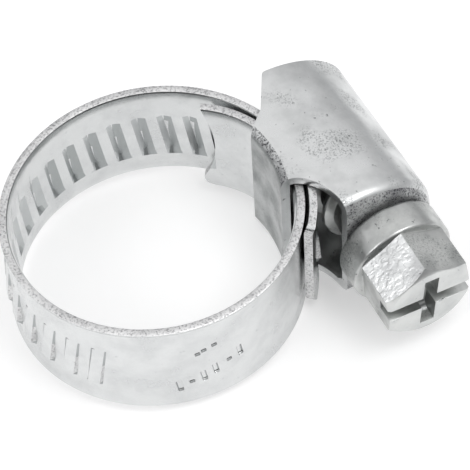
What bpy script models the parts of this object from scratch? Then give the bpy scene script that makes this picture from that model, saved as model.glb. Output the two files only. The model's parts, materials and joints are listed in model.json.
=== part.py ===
"""Worm-drive hose clamp, nine millimetre band, opened to its largest diameter.

The clamp lies on its side: +Z runs along the hose, +X runs from the hose's axis to the housing, and the
screw's head points to -Y. The band is one springy strip. It starts as a tongue inside the housing, leaves
the housing on the head's side, runs clockwise round the hose, comes back through the housing between the
tongue and the screw, and ends just outside it. Its bending is made as a chain of short rigid links.
"""

import math

import bmesh
import bpy
import numpy as np
from mathutils import Matrix, Vector

# Band. Radii are measured to the middle of the strip's thickness.
BAND_WIDTH = 0.0090
BAND_THICKNESS = 0.0006
RING_RADIUS = 0.0102
RING_OVAL = 0.0002
LAP_GAP = 0.00025
EDGE_FLARE = 0.0002
EDGE_FLARE_WIDTH = 0.0009
LINK_GAP = 0.0003

# Ribs pressed outwards for the thread to bear on, each with a groove behind it.
TOOTH_PITCH = 0.00192
RIB_HEIGHT = 0.0004
RIB_BASE = 0.0010
RIB_TOP = 0.0006
RIB_LENGTH = 0.0044
RIB_FLANK = 0.0003
RIB_MIDDLE = -0.0004

# Where the strip's stretches end: angles clockwise from +X, and whole ribs to a link.
TONGUE_ANGLE = math.radians(-43)
TAIL_JOINT_ANGLE = math.radians(337)
TAIL_RIBS_TO_TIP = 6
LINK_COUNT = 9
RIBS_PER_LINK = 3
RIBBED_LINKS = 6
RIBS_BEFORE_THEM = 1
TONGUE_DROP = 0.00045
TONGUE_DROP_START = math.radians(-12)
TONGUE_NOTCH = 0.0014
TONGUE_CORNER = 0.0012
TIP_ROUNDING = 0.0008

# Screw.
THREAD_RADIUS = 0.00315
THREAD_DEPTH = 0.0007
THREAD_CREST = 0.00045
THREAD_FOOT = 0.00095
THREAD_BITE = 0.00028
THREAD_FRONT = -0.0055
THREAD_BACK = 0.0040
THREAD_STEPS = 24
THREAD_SUNK = 0.0002
THREAD_FADE = 0.05
SCREW_TIP = 0.0047
NECK_RADIUS = 0.0022
COLLAR_RADIUS = 0.00385
COLLAR_ROUNDING = 0.0003
COLLAR_LENGTH = 0.0024
HEX_ACROSS_FLATS = 0.00635
HEX_LENGTH = 0.0037
HEX_TURN = math.radians(34)
HEAD_END_RADIUS = 0.0031
HEAD_CHAMFER = 0.0006
CORNER_CHAMFER = 0.0002
SLOT_WIDTH = 0.0011
SLOT_DEPTH = 0.0013
CROSS_LENGTH = 0.0048
SLOT_TURN = math.radians(-4)

# Housing, folded from one sheet.
SHEET = 0.0007
SADDLE_GAP = 0.0002
SADDLE_RADIUS = 0.0105
SIDE_GAP = 0.0002
THREAD_GAP = 0.0002
NECK_GAP = 0.0002
COLLAR_GAP = 0.0002
FOLD_RADIUS = 0.0008
SMALLEST_FOLD = 0.0001
SHOULDER_HEIGHT = 0.0018
SADDLE_FRONT = -0.0028
SADDLE_BACK = 0.0022
SADDLE_REACH = 0.0040
BARREL_FRONT = -0.0069
BARREL_BACK = 0.0064
BARREL_CORNER = 0.0004
FULLNESS_FRONT = 2.5
FULLNESS_BACK = 1.95
FRONT_FOLD = 0.0010
ARCH_HEIGHT = 0.0026
BACK_STEP = 0.0013

ARC_STEPS = 12
FOLD_STEPS = 4
TURN_STEPS = 36
SADDLE_STEPS = 4
CUT_MARGIN = 0.002
TOLERANCE = 1e-9

# Sizes that follow from the ones above.
LAP = BAND_THICKNESS + LAP_GAP
HALF_BAND = BAND_THICKNESS / 2
HOUSING_WIDTH = BAND_WIDTH + 2 * (SIDE_GAP + SHEET)
COLLAR_FRONT = BARREL_FRONT - COLLAR_GAP - COLLAR_LENGTH
HEAD_END = COLLAR_FRONT - HEX_LENGTH
HEX_CORNER_RADIUS = HEX_ACROSS_FLATS / 2 / math.cos(math.pi / 6)


# ---------------------------------------------------------------------------------------------------
# The strip's path: a lap and a bit of a slightly oval spiral, clockwise seen from +Z.


def band_radius(angle):
    """Radius of the strip's middle at an angle clockwise from +X: a lap further on it lies one lap out."""
    radius = RING_RADIUS + RING_OVAL * np.cos(2 * angle) + LAP * (angle / (2 * math.pi) - 0.5)
    bent_in = np.clip((TONGUE_DROP_START - angle) / (TONGUE_DROP_START - TONGUE_ANGLE), 0, None)
    return radius - TONGUE_DROP * bent_in**2


PATH_ANGLES = np.linspace(TONGUE_ANGLE, 3 * math.pi, 4000)
PATH_RADII = band_radius(PATH_ANGLES)
PATH_POINTS = np.column_stack((PATH_RADII * np.cos(PATH_ANGLES), -PATH_RADII * np.sin(PATH_ANGLES)))
PATH_STEPS = np.linalg.norm(np.diff(PATH_POINTS, axis=0), axis=1)
PATH_LENGTHS = np.concatenate(([0.0], np.cumsum(PATH_STEPS)))


def length_at(angle):
    """Length along the strip from the tongue's end to an angle."""
    return float(np.interp(angle, PATH_ANGLES, PATH_LENGTHS))


def path_point(length, outwards=0.0):
    """Point at a length along the strip and a distance outwards from its middle, in the ring's plane."""
    angle = float(np.interp(length, PATH_LENGTHS, PATH_ANGLES))
    step = 1e-4
    ahead, behind = (band_radius(angle + s) * np.exp(-1j * (angle + s)) for s in (step, -step))
    middle = band_radius(angle) * np.exp(-1j * angle)
    normal = (ahead - behind) / abs(ahead - behind) * 1j
    point = middle + outwards * normal
    return float(point.real), float(point.imag)


TAIL_JOINT = length_at(TAIL_JOINT_ANGLE)
LINK_LENGTH = RIBS_PER_LINK * TOOTH_PITCH
LINK_JOINTS = [TAIL_JOINT - (LINK_COUNT - i) * LINK_LENGTH for i in range(LINK_COUNT)]
TAIL_TIP = TAIL_JOINT + TAIL_RIBS_TO_TIP * TOOTH_PITCH

# The thread reaches between the ribs where the strip passes under the screw.
RIB_TOP_RADIUS = band_radius(2 * math.pi) + HALF_BAND + RIB_HEIGHT
THREAD_PITCH = TOOTH_PITCH * RIB_TOP_RADIUS / band_radius(2 * math.pi)
LEAD_SLOPE = THREAD_PITCH / (2 * math.pi * (THREAD_RADIUS - THREAD_BITE))
SCREW_X = RIB_TOP_RADIUS - THREAD_BITE + THREAD_RADIUS
CROWN_X = SCREW_X + THREAD_RADIUS + THREAD_GAP + SHEET
SADDLE_OUTER_X = band_radius(0) - HALF_BAND - SADDLE_GAP
SADDLE_INNER_X = SADDLE_OUTER_X - SHEET
SHOULDER_X = SADDLE_OUTER_X + LAP + BAND_THICKNESS + SHOULDER_HEIGHT / 2

# The origin is the middle of the underside of the clamp's box.
LOW_X = -(band_radius(math.pi) + HALF_BAND + RIB_HEIGHT)
HIGH_Y = band_radius(1.5 * math.pi) + HALF_BAND + RIB_HEIGHT
RING_CENTRE = Vector((-(LOW_X + CROWN_X) / 2, -(HEAD_END + HIGH_Y) / 2, HOUSING_WIDTH / 2))


# ---------------------------------------------------------------------------------------------------
# Helpers


def clear_scene():
    for obj in list(bpy.data.objects):
        bpy.data.objects.remove(obj, do_unlink=True)


def metal(name, colour, roughness):
    """Bright zinc-plated steel."""
    material = bpy.data.materials.new(name)
    material.use_nodes = True
    shader = material.node_tree.nodes["Principled BSDF"]
    shader.inputs["Base Color"].default_value = (*colour, 1.0)
    shader.inputs["Metallic"].default_value = 1.0
    shader.inputs["Roughness"].default_value = roughness
    return material


def add_object(name, mesh, parent, origin=(0.0, 0.0, 0.0), material=None):
    """An object whose mesh, given in the ring's frame, is moved so that the origin lies at a point."""
    mesh.transform(Matrix.Translation(-Vector(origin)))
    obj = bpy.data.objects.new(name, mesh)
    obj.location = origin
    obj.parent = parent
    bpy.context.scene.collection.objects.link(obj)
    if material:
        mesh.materials.append(material)
    return obj


def mesh_from(build, name):
    """Mesh of what a function makes in an empty bmesh, closed and with its faces pointing out."""
    shape = bmesh.new()
    build(shape)
    bmesh.ops.recalc_face_normals(shape, faces=shape.faces)
    mesh = bpy.data.meshes.new(name)
    shape.to_mesh(mesh)
    shape.free()
    return mesh


def smooth(obj, degrees):
    obj.data.shade_smooth()
    obj.data.set_sharp_from_angle(angle=math.radians(degrees))


def loft(shape, rings):
    """Skin through rings of equally many points, with flat ends."""
    loops = [[shape.verts.new(point) for point in ring] for ring in rings]
    count = len(loops[0])
    for low, high in zip(loops, loops[1:]):
        for i in range(count):
            j = (i + 1) % count
            shape.faces.new((low[i], low[j], high[j], high[i]))
    shape.faces.new(loops[0])
    shape.faces.new(loops[-1])


def turned(shape, profile):
    """Body turned about the screw's axis, from (y, radius) points."""
    circle = [2 * math.pi * i / TURN_STEPS for i in range(TURN_STEPS)]
    loft(shape, [[(SCREW_X + r * math.cos(a), y, r * math.sin(a)) for a in circle] for y, r in profile])


def prism(shape, outline, half_height):
    """Upright prism over an (x, y) outline, as high below the ring's plane as above it."""
    loft(shape, [[(x, y, z) for x, y in outline] for z in (-half_height, half_height)])


def box(shape, low, high):
    """Box between its lowest and its highest corner."""
    corners = ((low[0], low[1]), (high[0], low[1]), (high[0], high[1]), (low[0], high[1]))
    loft(shape, [[(x, y, z) for x, y in corners] for z in (low[2], high[2])])


def combine(obj, other, operation):
    """Boolean with a helper object that isn't itself a piece of the clamp."""
    other.hide_render = True
    other.display_type = "WIRE"
    modifier = obj.modifiers.new(operation.title() + " " + other.name, "BOOLEAN")
    modifier.operation = operation
    modifier.solver = "EXACT"
    modifier.object = other


def arc(centre, radii, start, end, steps=ARC_STEPS):
    """Points of an elliptical arc, from one angle to another, both in degrees."""
    angles = [math.radians(start + (end - start) * i / steps) for i in range(steps + 1)]
    return [(centre[0] + radii[0] * math.cos(a), centre[1] + radii[1] * math.sin(a)) for a in angles]


# ---------------------------------------------------------------------------------------------------
# Band


def band_rows():
    """Rows across the strip: (z, how far the rolled edge stands out, 1 on a rib's top)."""
    half, low, high = BAND_WIDTH / 2, RIB_MIDDLE - RIB_LENGTH / 2, RIB_MIDDLE + RIB_LENGTH / 2
    ribbed = [(low, 0.0, 0), (low + RIB_FLANK, 0.0, 1), (high - RIB_FLANK, 0.0, 1), (high, 0.0, 0)]
    below = [(-half, EDGE_FLARE, 0), (EDGE_FLARE_WIDTH - half, 0.0, 0)]
    return below + ribbed + [(-z, flare, top) for z, flare, top in reversed(below)]


def rib_stations(centre):
    """Stations along the strip of one rib: (length, 1 on the rib's top, 1 where the rib's slant counts)."""
    return [
        (centre - RIB_BASE / 2, 0, 1),
        (centre - RIB_TOP / 2, 1, 1),
        (centre + RIB_TOP / 2, 1, 1),
        (centre + RIB_BASE / 2, 0, 1),
    ]


def ribbed_stations(start, end, first, count):
    """Stations of a ribbed stretch: count ribs, the first one's middle at a length."""
    stations = [(start, 0, 0)]
    for i in range(count):
        stations += rib_stations(first + i * TOOTH_PITCH)
        if i < count - 1:
            stations.append((first + (i + 0.5) * TOOTH_PITCH, 0, 1))
    return stations + [(end, 0, 0)]


def plain_stations(start, end):
    """Stations of a smooth stretch, no more than half a pitch apart."""
    count = math.ceil((end - start) / (TOOTH_PITCH / 2))
    return [(start + (end - start) * i / count, 0, 0) for i in range(count + 1)]


def link_stations(i, start):
    """Stations of one link: smooth, or with the ribs that fall towards its end."""
    low, high = start + LINK_GAP / 2, start + LINK_LENGTH - LINK_GAP / 2
    before_ribbed = LINK_COUNT - RIBBED_LINKS - 1
    if i < before_ribbed:
        return plain_stations(low, high)
    ribs = RIBS_BEFORE_THEM if i == before_ribbed else RIBS_PER_LINK
    plain_end = start + LINK_LENGTH - (ribs + 0.5) * TOOTH_PITCH
    first = plain_end + TOOTH_PITCH
    if plain_end < low:
        return ribbed_stations(low, high, first, ribs)
    return plain_stations(low, plain_end)[:-1] + ribbed_stations(plain_end, high, first, ribs)


def band_mesh(name, stations, end_shape=None):
    """Strip with ribs and rolled edges. end_shape(length, z) may trim a station to shape the strip's end."""
    rows = band_rows()

    def point(station, row, side):
        length, on_rib, slants = station
        z, flare, on_top = row
        inside_ribs = abs(z - RIB_MIDDLE) <= RIB_LENGTH / 2 + TOLERANCE
        length -= LEAD_SLOPE * z if slants and inside_ribs else 0.0
        if end_shape:
            length = end_shape(length, z)
        x, y = path_point(length, side * HALF_BAND + flare + RIB_HEIGHT * on_rib * on_top)
        return x, y, z

    def build(shape):
        rings = []
        for station in stations:
            outer = [point(station, row, 1) for row in rows]
            inner = [point(station, row, -1) for row in rows]
            rings.append(outer + inner[::-1])
        loops = [[shape.verts.new(p) for p in ring] for ring in rings]
        count = len(loops[0])
        for low, high in zip(loops, loops[1:]):
            for i in range(count):
                j = (i + 1) % count
                shape.faces.new((low[i], low[j], high[j], high[i]))
        for loop in (loops[0], loops[-1]):
            for i in range(len(rows) - 1):
                shape.faces.new((loop[i], loop[i + 1], loop[count - 2 - i], loop[count - 1 - i]))

    return mesh_from(build, name)


def joint_origin(length):
    x, y = path_point(length)
    return x, y, 0.0


def fishtail(length, z):
    """The tongue's end is notched between two horns, and its lower corner is rounded."""
    depth = TONGUE_NOTCH * (1 - (2 * z / BAND_WIDTH) ** 2)
    past = max(0.0, TONGUE_CORNER - BAND_WIDTH / 2 - z)
    corner = TONGUE_CORNER - math.sqrt(max(0.0, TONGUE_CORNER**2 - past**2))
    return max(length, depth, corner) if length < TONGUE_NOTCH else length


def rounded_tip(length, z):
    """The loose end's two corners are rounded off."""
    corner = max(0.0, abs(z) - BAND_WIDTH / 2 + 2 * EDGE_FLARE_WIDTH) / (2 * EDGE_FLARE_WIDTH)
    return min(length, TAIL_TIP - TIP_ROUNDING * corner**2)


def make_band(parent, material):
    """Fixed end with its tongue, the links round the hose, and the tail through the housing."""
    fixed = plain_stations(0.0, LINK_JOINTS[0] - LINK_GAP / 2)
    mesh = band_mesh("band_fixed_end", fixed, fishtail)
    pieces = [add_object("band_fixed_end", mesh, parent, material=material)]
    for i, start in enumerate(LINK_JOINTS):
        name = f"band_link_{i + 1}"
        stations = link_stations(i, start)
        pieces.append(add_object(name, band_mesh(name, stations), parent, joint_origin(start), material))
    low, first = TAIL_JOINT + LINK_GAP / 2, TAIL_JOINT + TOOTH_PITCH / 2
    stations = ribbed_stations(low, TAIL_TIP, first, TAIL_RIBS_TO_TIP - 1)
    mesh = band_mesh("band_tail", stations, rounded_tip)
    pieces.append(add_object("band_tail", mesh, parent, joint_origin(TAIL_JOINT), material))
    for piece in pieces:
        smooth(piece, 20)


# ---------------------------------------------------------------------------------------------------
# Screw


def thread_mesh():
    """Helical ridge with a sunk foot. It fades out at both ends, and a gap between ribs is its middle."""
    front, back = THREAD_FRONT + THREAD_PITCH / 4, THREAD_BACK - THREAD_PITCH / 4
    count = math.ceil(THREAD_STEPS * (back - front) / THREAD_PITCH)
    core = THREAD_RADIUS - THREAD_DEPTH
    foot = core - THREAD_SUNK

    def section(i):
        angle = 2 * math.pi * i / THREAD_STEPS
        y = front + THREAD_PITCH * i / THREAD_STEPS
        fade = min(1.0, 2 * i / THREAD_STEPS, 2 * (count - i) / THREAD_STEPS)
        crest = core + THREAD_DEPTH * max(fade, THREAD_FADE)
        half_foot, half_crest = THREAD_FOOT / 2, THREAD_CREST / 2
        corners = ((foot, -half_foot), (crest, -half_crest), (crest, half_crest), (foot, half_foot))
        # Right-handed about +Y: the angle grows from +Z towards +X.
        turn = angle + thread_phase(front)
        return [(SCREW_X + r * math.sin(turn), y + dy, r * math.cos(turn)) for r, dy in corners]

    return mesh_from(lambda shape: loft(shape, [section(i) for i in range(count + 1)]), "thread")


def thread_phase(y):
    """Angle, from +Z towards +X, at which the ridge passes a height y, so that it clears the ribs."""
    gap_length = TAIL_JOINT + round((length_at(2 * math.pi) - TAIL_JOINT) / TOOTH_PITCH) * TOOTH_PITCH
    gap_y = path_point(gap_length, HALF_BAND + RIB_HEIGHT)[1]
    facing_band = -math.pi / 2
    return facing_band + 2 * math.pi * (y - gap_y) / THREAD_PITCH


def screw_profile():
    """(y, radius) of the screw without its ridge and hexagon, from the head to the tip."""
    core = THREAD_RADIUS - THREAD_DEPTH
    collar_back = COLLAR_FRONT + COLLAR_LENGTH
    return [
        (HEAD_END + HEAD_CHAMFER, NECK_RADIUS),
        (COLLAR_FRONT, NECK_RADIUS),
        (COLLAR_FRONT, COLLAR_RADIUS),
        (collar_back - COLLAR_ROUNDING, COLLAR_RADIUS),
        (collar_back, COLLAR_RADIUS - COLLAR_ROUNDING),
        (collar_back, NECK_RADIUS),
        (BARREL_FRONT + SHEET + COLLAR_GAP, NECK_RADIUS),
        (BARREL_FRONT + SHEET + COLLAR_GAP, core),
        (THREAD_BACK, core),
        (SCREW_TIP, core - (SCREW_TIP - THREAD_BACK)),
    ]


def hexagon():
    """(x, z) corners of the hexagon about the screw's axis."""
    turns = [HEX_TURN + math.pi / 3 * i for i in range(6)]
    return [(SCREW_X + HEX_CORNER_RADIUS * math.cos(a), HEX_CORNER_RADIUS * math.sin(a)) for a in turns]


def make_screw(parent, material):
    """Screw in one piece: hexagon head with a slot and a cross, collar, neck and thread."""
    origin = (SCREW_X, BARREL_FRONT, 0.0)
    blank = mesh_from(lambda s: turned(s, screw_profile()), "worm_screw")
    screw = add_object("worm_screw", blank, parent, origin, material)
    ridge = add_object("thread_ridge", thread_mesh(), parent, origin)
    overlap = COLLAR_FRONT + COLLAR_GAP
    rings = [[(x, y, z) for x, z in hexagon()] for y in (HEAD_END, overlap)]
    head = add_object("hexagon_blank", mesh_from(lambda s: loft(s, rings), "hexagon_blank"), parent, origin)
    chamfer = [
        (HEAD_END - CUT_MARGIN, HEAD_END_RADIUS - CUT_MARGIN),
        (HEAD_END, HEAD_END_RADIUS),
        (HEAD_END + HEAD_CHAMFER, HEX_CORNER_RADIUS + CORNER_CHAMFER),
        (overlap + CUT_MARGIN, HEX_ACROSS_FLATS),
    ]
    cone = add_object("chamfer_cone", mesh_from(lambda s: turned(s, chamfer), "chamfer_cone"), parent, origin)
    combine(head, cone, "INTERSECT")
    combine(screw, head, "UNION")
    combine(screw, ridge, "UNION")
    for name, length, turn in (("slot", 2 * HEX_ACROSS_FLATS, 0.0), ("cross", CROSS_LENGTH, math.pi / 2)):
        combine(screw, make_slot(name, length, turn, parent, origin), "DIFFERENCE")
    smooth(screw, 30)


def make_slot(name, length, turn, parent, origin):
    """Cutter across the head's end, turned about the screw's axis from the slot's own direction."""
    half = SLOT_WIDTH / 2
    low = (-length / 2, HEAD_END - CUT_MARGIN, -half)
    high = (length / 2, HEAD_END + SLOT_DEPTH, half)
    mesh = mesh_from(lambda s: box(s, low, high), name)
    cutter = bpy.data.objects.new(name + "_cutter", mesh)
    cutter.location = (SCREW_X, 0.0, 0.0)
    cutter.rotation_euler = (0.0, -SLOT_TURN - turn, 0.0)
    cutter.parent = parent
    bpy.context.scene.collection.objects.link(cutter)
    return cutter


# ---------------------------------------------------------------------------------------------------
# Housing


def saddle_dip(y):
    """How far towards the hose the saddle's curve has dropped at y."""
    reach = min(abs(y), SADDLE_REACH)
    return SADDLE_RADIUS - math.sqrt(SADDLE_RADIUS**2 - reach**2)


def crown_fullness(y):
    """Power of the crown's curve at y: 2 is an ellipse, and more is squarer."""
    share = min(max((y - BARREL_FRONT) / (BARREL_BACK - BARREL_FRONT), 0.0), 1.0)
    return FULLNESS_FRONT + (FULLNESS_BACK - FULLNESS_FRONT) * share


def housing_section(inset, y):
    """(x, z) outline across the housing at y, set in from its outer face by a distance."""
    half = HOUSING_WIDTH / 2 - inset
    foot = SADDLE_INNER_X - saddle_dip(y) + inset
    crown = CROWN_X - inset
    fold = max(FOLD_RADIUS - inset, SMALLEST_FOLD)
    lower = arc((foot + fold, half - fold), (fold, fold), 180, 90, FOLD_STEPS)
    power, height = 2 / crown_fullness(y), crown - SHOULDER_X
    quarter = arc((0.0, 0.0), (1.0, 1.0), 90, 0)
    upper = [(SHOULDER_X + height * abs(u) ** power, half * abs(v) ** power) for u, v in quarter]
    outline = lower + upper
    return outline + [(x, -z) for x, z in reversed(outline[:-1])]


def housing_rings(inset, stations):
    """Rings of the section along Y: each station is (y, extra inset)."""
    return [[(x, y, z) for x, z in housing_section(inset + extra, y)] for y, extra in stations]


def saddle_stations():
    """Stations close enough together for the saddle's curve."""
    return [(SADDLE_REACH * (i / SADDLE_STEPS - 1), 0.0) for i in range(2 * SADDLE_STEPS + 1)]


def front_fold():
    """Stations of the folded-in front end, from the end face back to the full section."""
    bend = arc((BARREL_FRONT + FRONT_FOLD, FRONT_FOLD), (FRONT_FOLD, FRONT_FOLD), 180, 270, FOLD_STEPS)
    return [(y, inset) for y, inset in bend]


def back_cut():
    """Outline, seen along Z, of what is cut away behind the slanted back edge."""
    far = BARREL_BACK + 2 * CUT_MARGIN
    centre = (SHOULDER_X + BARREL_CORNER / 2, BARREL_BACK - BARREL_CORNER)
    rounded = arc(centre, (BARREL_CORNER, BARREL_CORNER), 150, 90, FOLD_STEPS)
    return [
        (SADDLE_INNER_X - CUT_MARGIN, SADDLE_BACK - CUT_MARGIN),
        (SADDLE_INNER_X, SADDLE_BACK),
        (SADDLE_INNER_X + 2 * SHEET, SADDLE_BACK + BACK_STEP),
        *rounded,
        (CROWN_X + CUT_MARGIN, BARREL_BACK),
        (CROWN_X + CUT_MARGIN, far),
        (SADDLE_INNER_X - CUT_MARGIN, far),
    ]


def arch_cut():
    """Outline, seen along Z, of the arch on the head's side that lets the strip leave the housing."""
    low = SADDLE_INNER_X - CUT_MARGIN
    depth = SADDLE_FRONT - BARREL_FRONT
    centre = (SADDLE_INNER_X, BARREL_FRONT)
    arch = arc(centre, (ARCH_HEIGHT, depth), 90, 0)
    outside = BARREL_FRONT - CUT_MARGIN
    return [(low, SADDLE_FRONT), *arch, (SADDLE_INNER_X + ARCH_HEIGHT, outside), (low, outside)]


def make_housing(parent, material):
    """Housing folded from sheet: a saddle inside the hose's side, two cheeks and a barrel over the screw."""
    outer = housing_rings(0.0, front_fold() + saddle_stations() + [(BARREL_BACK + CUT_MARGIN / 2, 0.0)])
    housing = add_object("housing", mesh_from(lambda s: loft(s, outer), "housing"), parent, material=material)
    hollow = [(BARREL_FRONT + SHEET, 0.0), *saddle_stations(), (BARREL_BACK + CUT_MARGIN, 0.0)]
    inner = housing_rings(SHEET, hollow)
    void = add_object("housing_void", mesh_from(lambda s: loft(s, inner), "housing_void"), parent)
    combine(housing, void, "DIFFERENCE")
    neck = [(BARREL_FRONT + side * CUT_MARGIN, NECK_RADIUS + NECK_GAP) for side in (-1, 1)]
    hole = add_object("neck_hole", mesh_from(lambda s: turned(s, neck), "neck_hole"), parent)
    combine(housing, hole, "DIFFERENCE")
    for name, outline in (("back_cutter", back_cut()), ("arch_cutter", arch_cut())):
        cutter = add_object(name, mesh_from(lambda s, o=outline: prism(s, o, HOUSING_WIDTH), name), parent)
        combine(housing, cutter, "DIFFERENCE")
    smooth(housing, 30)


def main():
    clear_scene()
    ring_centre = bpy.data.objects.new("ring_centre", None)
    ring_centre.location = RING_CENTRE
    bpy.context.scene.collection.objects.link(ring_centre)
    make_housing(ring_centre, metal("zinc_housing", (0.78, 0.79, 0.80), 0.32))
    make_screw(ring_centre, metal("zinc_screw", (0.70, 0.71, 0.71), 0.38))
    make_band(ring_centre, metal("zinc_band", (0.80, 0.81, 0.82), 0.26))


main()
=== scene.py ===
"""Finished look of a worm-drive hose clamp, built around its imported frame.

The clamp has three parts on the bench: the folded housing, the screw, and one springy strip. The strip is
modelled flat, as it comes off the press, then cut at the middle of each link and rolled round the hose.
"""

import json
import logging
import math
from collections.abc import Callable, Sequence
from dataclasses import dataclass, field
from enum import Enum

import bmesh
import bpy
import numpy as np
from mathutils import Matrix, Vector

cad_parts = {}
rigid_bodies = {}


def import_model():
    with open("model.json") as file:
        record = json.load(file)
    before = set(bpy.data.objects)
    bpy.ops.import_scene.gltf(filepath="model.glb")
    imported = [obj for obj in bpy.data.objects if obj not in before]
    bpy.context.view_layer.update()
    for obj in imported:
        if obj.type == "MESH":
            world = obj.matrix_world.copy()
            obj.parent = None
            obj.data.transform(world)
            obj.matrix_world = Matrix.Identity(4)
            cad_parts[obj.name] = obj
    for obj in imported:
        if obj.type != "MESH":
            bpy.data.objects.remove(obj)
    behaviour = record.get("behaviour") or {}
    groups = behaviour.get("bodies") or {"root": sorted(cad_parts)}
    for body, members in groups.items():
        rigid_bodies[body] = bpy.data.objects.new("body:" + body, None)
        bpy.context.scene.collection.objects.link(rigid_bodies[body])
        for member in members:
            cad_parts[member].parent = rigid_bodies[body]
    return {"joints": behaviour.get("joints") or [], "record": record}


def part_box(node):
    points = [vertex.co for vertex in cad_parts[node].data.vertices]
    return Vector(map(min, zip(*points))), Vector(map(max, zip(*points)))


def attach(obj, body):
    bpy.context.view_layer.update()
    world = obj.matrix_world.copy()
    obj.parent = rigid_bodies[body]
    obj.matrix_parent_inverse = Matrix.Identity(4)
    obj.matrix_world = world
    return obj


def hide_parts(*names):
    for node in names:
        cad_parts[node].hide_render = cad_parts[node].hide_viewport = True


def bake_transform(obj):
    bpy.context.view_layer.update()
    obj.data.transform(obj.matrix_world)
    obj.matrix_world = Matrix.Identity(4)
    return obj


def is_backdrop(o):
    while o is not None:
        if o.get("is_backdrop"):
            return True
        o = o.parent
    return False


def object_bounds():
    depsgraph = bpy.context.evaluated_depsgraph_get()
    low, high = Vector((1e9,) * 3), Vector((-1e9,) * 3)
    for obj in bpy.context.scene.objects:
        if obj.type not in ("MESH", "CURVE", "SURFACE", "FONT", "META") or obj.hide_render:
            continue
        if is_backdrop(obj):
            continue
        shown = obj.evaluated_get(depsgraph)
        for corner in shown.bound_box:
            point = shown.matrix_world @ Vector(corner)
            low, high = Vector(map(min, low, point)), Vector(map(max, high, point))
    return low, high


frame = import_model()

LOG = logging.getLogger("hose_clamp")
TINY = 1e-7  # a length below this is nothing
NEAR = 1e-6  # points closer than this are one
PAST = 0.002  # how far a cutter reaches past what it cuts

Pair = tuple[float, float]
Point = tuple[float, float, float]
Piece = bpy.types.Object
Socket = bpy.types.NodeSocket


class Cut(Enum):
    """How one shape works on another."""

    AWAY = "DIFFERENCE"
    KEEP = "INTERSECT"
    JOIN = "UNION"


class Kind(Enum):
    """What is picked in edit mode."""

    POINTS = "VERT"
    EDGES = "EDGE"
    FACES = "FACE"


# ---- Bench work: the few operations that every piece is made with


def deselect() -> None:
    """Leave edit mode with nothing selected."""
    if bpy.context.mode != "OBJECT":
        bpy.ops.object.mode_set(mode="OBJECT")
    bpy.ops.object.select_all(action="DESELECT")


def take(obj: Piece) -> None:
    """Make one object the only selected one and the active one."""
    deselect()
    obj.select_set(True)
    bpy.context.view_layer.objects.active = obj


def named(name: str) -> Piece:
    """Name the newest primitive, and return it."""
    obj = bpy.context.active_object
    obj.name = obj.data.name = name
    return obj


def pick(obj: Piece, kind: Kind, test: Callable[[Vector, Vector], bool]) -> None:
    """Select what passes a test in edit mode.

    Args:
        obj: The object in edit mode.
        kind: Points, edges or faces.
        test: Takes the middle and the normal of each (an edge gives its direction).
    """
    bpy.ops.mesh.select_mode(type=kind.value)
    bpy.ops.mesh.select_all(action="DESELECT")
    shape = bmesh.from_edit_mesh(obj.data)
    if kind is Kind.POINTS:
        found = [v for v in shape.verts if test(v.co, v.normal)]
    elif kind is Kind.EDGES:
        ends = [(e, *(v.co for v in e.verts)) for e in shape.edges]
        found = [e for e, a, b in ends if test((a + b) / 2, (b - a).normalized())]
    else:
        found = [f for f in shape.faces if test(f.calc_center_median(), f.normal)]
    for item in found:
        item.select_set(True)
    shape.select_flush_mode()
    bmesh.update_edit_mesh(obj.data)


def modify(obj: Piece, kind: str, **settings: object) -> None:
    """Give a piece one modifier and apply it."""
    take(obj)
    modifier = obj.modifiers.new("step", kind)
    for key, value in settings.items():
        setattr(modifier, key, value)
    bpy.ops.object.modifier_apply(modifier=modifier.name)


def work(obj: Piece, cutter: Piece, cut: Cut) -> None:
    """Cut, keep or join with another shape, which is used up."""
    modify(obj, "BOOLEAN", operation=cut.value, solver="EXACT", object=cutter)
    bpy.data.objects.remove(cutter, do_unlink=True)


def bevel(obj: Piece, width: float, segments: int, degrees: float) -> None:
    """Round every edge sharper than an angle, in a number of steps."""
    modify(obj, "BEVEL", width=width, segments=segments, limit_method="ANGLE",
           angle_limit=math.radians(degrees), use_clamp_overlap=True)


def shade(obj: Piece, degrees: float) -> None:
    """Shade smooth, apart from edges sharper than an angle."""
    take(obj)
    bpy.ops.object.shade_smooth_by_angle(angle=math.radians(degrees))


def edit() -> None:
    """Go into edit mode with all of the active object selected."""
    bpy.ops.object.mode_set(mode="EDIT")
    bpy.ops.mesh.select_all(action="SELECT")


def leave_edit() -> None:
    """Go back to object mode."""
    bpy.ops.object.mode_set(mode="OBJECT")


def settle() -> None:
    """Carry the active object's place, turn and scale over to its points."""
    bpy.ops.object.transform_apply(location=True, rotation=True, scale=True)


def slice_all(place: Point, normal: Point, **settings: bool) -> None:
    """Cut all of the object in edit mode along a plane."""
    bpy.ops.mesh.select_all(action="SELECT")
    bpy.ops.mesh.bisect(plane_co=place, plane_no=normal, **settings)


def tidy_mesh(obj: Piece) -> None:
    """Merge doubled points, drop faces without area and turn every face outwards."""
    take(obj)
    edit()
    bpy.ops.mesh.remove_doubles(threshold=NEAR)
    bpy.ops.mesh.dissolve_degenerate(threshold=NEAR)
    bpy.ops.mesh.normals_make_consistent(inside=False)
    leave_edit()


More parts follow.
